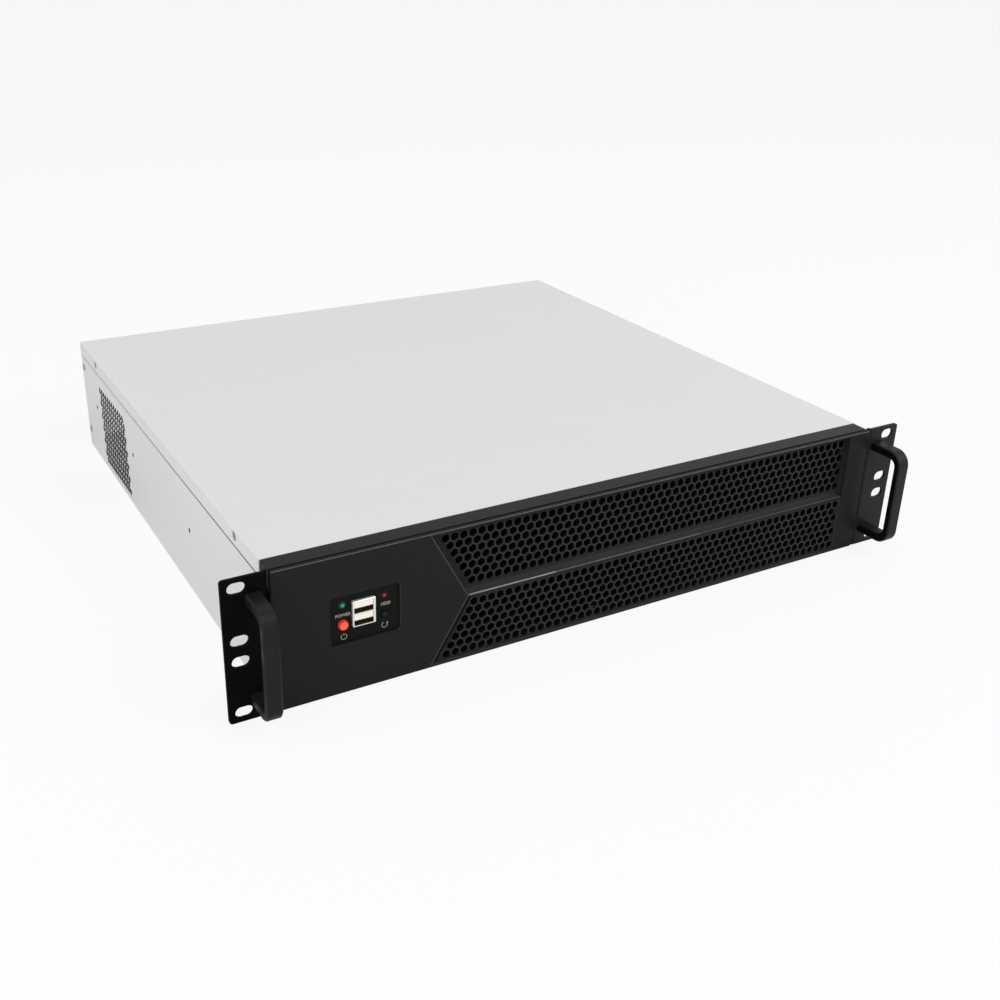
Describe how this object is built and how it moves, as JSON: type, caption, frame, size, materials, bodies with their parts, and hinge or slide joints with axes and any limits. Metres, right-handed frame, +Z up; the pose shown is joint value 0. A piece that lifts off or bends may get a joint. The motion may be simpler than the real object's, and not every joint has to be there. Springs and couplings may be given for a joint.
{
  "type": "rackmount_server_case",
  "caption": "Empty 2U rackmount server case with formed hexagonal-mesh bezel, control window, slotted rack ears and bow handles",
  "frame": {"origin": "Centre of the four outer rack slots, on the rear face of the ears that meets the rack rails", "axes": "+X to the right seen from the front, +Y towards the rear of the case, +Z up from the base"},
  "size_m": [0.4826, 0.445, 0.0882],
  "materials": {
    "zinc_steel": "bare galvanised sheet",
    "black_paint": "fine-textured satin black powder coat",
    "handle_black": "black anodised",
    "screw_steel": "bright zinc plated",
    "foam": "open-cell filter foam",
    "black_plastic": "moulded black",
    "red_plastic": "moulded orange-red",
    "green_lens": "clear tinted",
    "red_lens": "clear tinted",
    "board": "solder-masked laminate",
    "cream_plastic": "moulded"
  },
  "bodies": {
    "case": {"chassis_tray": "zinc_steel", "rear_panel": "zinc_steel", "front_wall": "black_paint", "top_cover": "zinc_steel", "cover_screws": "screw_steel", "front_bezel": "black_paint", "bezel_screws": "screw_steel", "dust_filter": "foam", "left_ear": "black_paint", "right_ear": "black_paint", "ear_screws": "screw_steel", "left_handle": "handle_black", "right_handle": "handle_black", "handle_screws": "screw_steel", "control_plate": "black_plastic", "control_board": "board", "board_screws": "screw_steel", "usb_shell": "screw_steel", "usb_inserts": "cream_plastic", "power_led": "green_lens", "hdd_led": "red_lens", "power_switch": "black_plastic", "reset_switch": "black_plastic", "rear_rivets": "screw_steel", "card_cover_screws": "screw_steel", "board_standoffs": "screw_steel", "drive_bracket": "zinc_steel", "fan_bracket": "zinc_steel", "supply_bracket": "zinc_steel", "bracket_screws": "screw_steel", "card_cover_1": "zinc_steel", "card_cover_2": "zinc_steel", "card_cover_3": "zinc_steel", "card_cover_4": "zinc_steel", "card_cover_5": "zinc_steel", "card_cover_6": "zinc_steel", "card_cover_7": "zinc_steel"},
    "power_button": {"power_button": "red_plastic"},
    "reset_button": {"reset_button": "black_plastic"}
  },
  "joints": [
    {"name": "power_button_press", "type": "slide", "parent": "case", "child": "power_button", "axis": [0, 1, 0], "range_m": [0, 0.0012], "stiffness_N_per_m": 400},
    {"name": "reset_button_press", "type": "slide", "parent": "case", "child": "reset_button", "axis": [0, 1, 0], "range_m": [0, 0.0012], "stiffness_N_per_m": 400}
  ]
}
